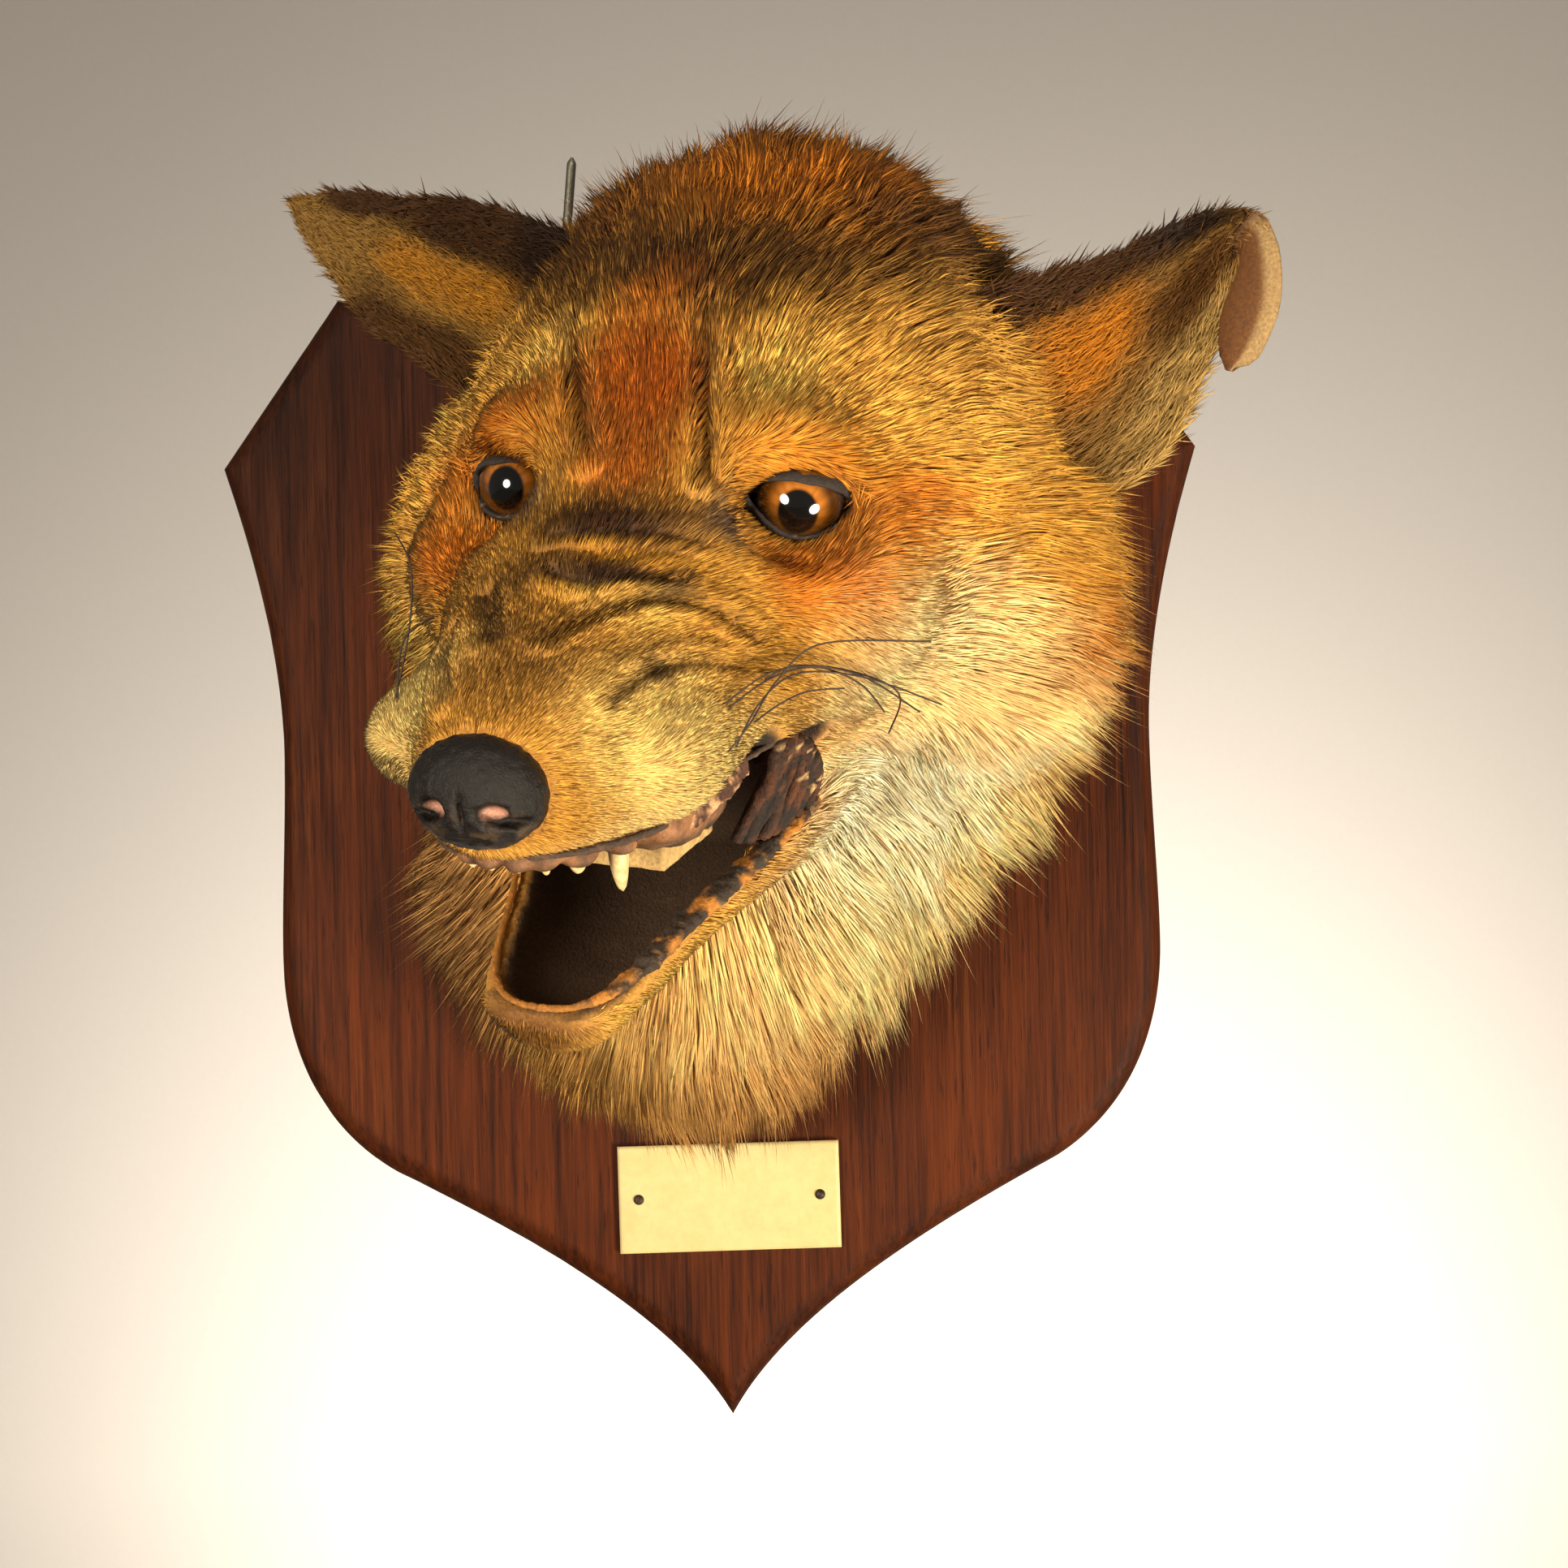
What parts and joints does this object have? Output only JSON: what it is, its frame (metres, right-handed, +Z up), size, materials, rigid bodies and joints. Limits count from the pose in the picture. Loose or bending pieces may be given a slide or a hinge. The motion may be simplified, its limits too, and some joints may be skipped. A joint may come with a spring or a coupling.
{
  "type": "mounted fox mask on a wall shield",
  "caption": "Mounted head of a red fox with open jaws, spread ears and a full ruff, fixed to a pointed wooden wall shield that has a bare label plate and a hanging rod.",
  "frame": {"origin": "centre of the shield's flat back face, which hangs against the wall", "axes": "+Z up the wall, +X to the viewer's right, +Y into the wall, so the head stands out towards -Y"},
  "size_m": [0.242, 0.2234, 0.3169],
  "materials": {
    "oak": "stained and waxed, worn",
    "label": "aged cream celluloid",
    "pins": "blackened",
    "rod": "dull",
    "fur": "fox fur over tanned skin",
    "nose_leather": "painted black, pebbled",
    "palate": "dry modelled plaster with bone teeth",
    "pine": "bare sawn",
    "eye_glass": "polished"
  },
  "bodies": {
    "root": {"shield": "oak", "label_plate": "label", "plate_pin_left": "pins", "plate_pin_right": "pins", "hanging_rod": "rod", "neck": "fur", "head": "fur", "muzzle": "fur", "lower_jaw": "fur", "ear_left": "fur", "ear_right": "fur", "nose": "nose_leather", "palate_teeth": "palate", "mouth_board": "pine", "eye_left": "eye_glass", "eye_right": "eye_glass"}
  },
  "joints": []
}
